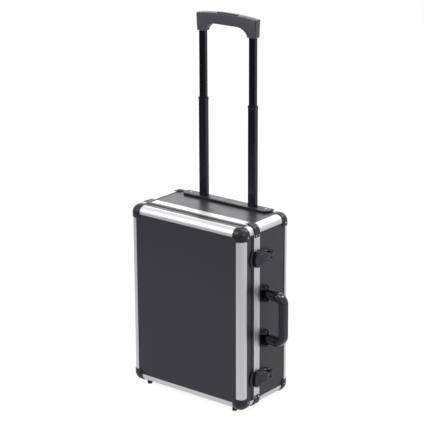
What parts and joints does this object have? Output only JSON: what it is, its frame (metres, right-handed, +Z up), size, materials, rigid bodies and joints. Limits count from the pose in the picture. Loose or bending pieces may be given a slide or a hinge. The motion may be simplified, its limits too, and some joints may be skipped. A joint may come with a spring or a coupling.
{
  "type": "trolley tool case",
  "caption": "Upright aluminium-framed trolley tool case with a hinged lid, lever latches, folding side handle, telescopic pull handle, wheels and feet.",
  "frame": {"origin": "on the floor, below the middle of the overall bounding box", "axes": "+Z up along the pulled-out handle, -Y out of the lid's front face, +X out of the side with the latches and the side handle"},
  "size_m": [0.4322, 0.2049, 0.9615],
  "materials": {
    "aluminium_profile": "satin anodised",
    "panel_laminate": "satin",
    "black_plastic": "semi-gloss",
    "handle_plastic": "gloss",
    "grip_plastic": "matt",
    "button_plastic": "satin",
    "steel": "zinc plated",
    "anodised_tube": "black anodised",
    "cover_plate": "satin black",
    "rubber": "matt",
    "hub_plastic": "matt",
    "lining": "matt"
  },
  "bodies": {
    "case": {"back_panel": "panel_laminate", "top_panel": "panel_laminate", "bottom_panel": "panel_laminate", "side_panels": "panel_laminate", "rear_profiles": "aluminium_profile", "body_edge_profiles": "aluminium_profile", "body_rim_profiles": "aluminium_profile", "body_ball_corners": "black_plastic", "body_rim_corners": "black_plastic", "body_rivets": "steel", "false_back": "lining", "body_hinge_leaves": "steel", "hinge_pins": "steel", "upper_latch_base": "black_plastic", "lower_latch_base": "black_plastic", "latch_pins": "steel", "upper_handle_mount": "black_plastic", "lower_handle_mount": "black_plastic", "handle_pins": "steel", "cover_plate": "cover_plate", "cover_plate_screws": "steel", "outer_tubes": "steel", "tube_bushes": "black_plastic", "tube_brackets": "steel", "wheel_housings": "black_plastic", "axles": "steel"},
    "lid": {"lid_panel": "panel_laminate", "lid_side_panels": "panel_laminate", "lid_front_profiles": "aluminium_profile", "lid_edge_profiles": "aluminium_profile", "lid_rim_profiles": "aluminium_profile", "lid_bead": "black_plastic", "lid_ball_corners": "black_plastic", "lid_rim_corners": "black_plastic", "lid_rivets": "steel", "lid_foam": "lining", "front_feet": "rubber", "upper_keeper": "black_plastic", "lower_keeper": "black_plastic", "lid_hinge_leaves": "steel"},
    "upper_latch": {"upper_latch_lever": "black_plastic"},
    "lower_latch": {"lower_latch_lever": "black_plastic"},
    "side_handle": {"side_handle": "handle_plastic"},
    "middle_stage": {"middle_tubes": "anodised_tube", "middle_collars": "black_plastic", "middle_guides": "black_plastic"},
    "grip": {"inner_tubes": "anodised_tube", "inner_guides": "black_plastic", "lock_pins": "steel", "grip_front_shell": "grip_plastic", "grip_rear_shell": "grip_plastic", "button_spring": "steel"},
    "button": {"release_button": "button_plastic", "push_rods": "steel"},
    "left_wheel": {"left_hub": "hub_plastic", "left_tyre": "rubber"},
    "right_wheel": {"right_hub": "hub_plastic", "right_tyre": "rubber"}
  },
  "joints": [
    {"name": "lid_hinge", "type": "hinge", "parent": "case", "child": "lid", "pos_m": [-0.2129, -0.0415, 0.245], "axis": [0, 0, -1], "range_deg": [0, 100]},
    {"name": "upper_latch_pivot", "type": "hinge", "parent": "case", "child": "upper_latch", "pos_m": [0.1546, 0.0045, 0.3975], "axis": [0, 0, 1], "range_deg": [-1.5, 110]},
    {"name": "lower_latch_pivot", "type": "hinge", "parent": "case", "child": "lower_latch", "pos_m": [0.1546, 0.0045, 0.0835], "axis": [0, 0, 1], "range_deg": [-1.5, 110]},
    {"name": "side_handle_pivot", "type": "hinge", "parent": "case", "child": "side_handle", "pos_m": [0.1551, -0.0145, 0.2405], "axis": [0, 0, 1], "range_deg": [-75, 75]},
    {"name": "lower_stage_slide", "type": "slide", "parent": "case", "child": "middle_stage", "axis": [0, 0, 1], "range_m": [-0.2475, 0]},
    {"name": "upper_stage_slide", "type": "slide", "parent": "middle_stage", "child": "grip", "axis": [0, 0, 1], "range_m": [-0.168, 0]},
    {"name": "release_button_press", "type": "slide", "parent": "grip", "child": "button", "axis": [0, 0, -1], "range_m": [0, 0.004], "stiffness_N_per_m": 400, "springref_m": -0.006, "deforming": ["button_spring"]},
    {"name": "left_wheel_spin", "type": "hinge", "parent": "case", "child": "left_wheel", "pos_m": [-0.1569, 0.0745, 0.028], "axis": [1, 0, 0], "continuous": true},
    {"name": "right_wheel_spin", "type": "hinge", "parent": "case", "child": "right_wheel", "pos_m": [0.0951, 0.0745, 0.028], "axis": [1, 0, 0], "continuous": true}
  ]
}
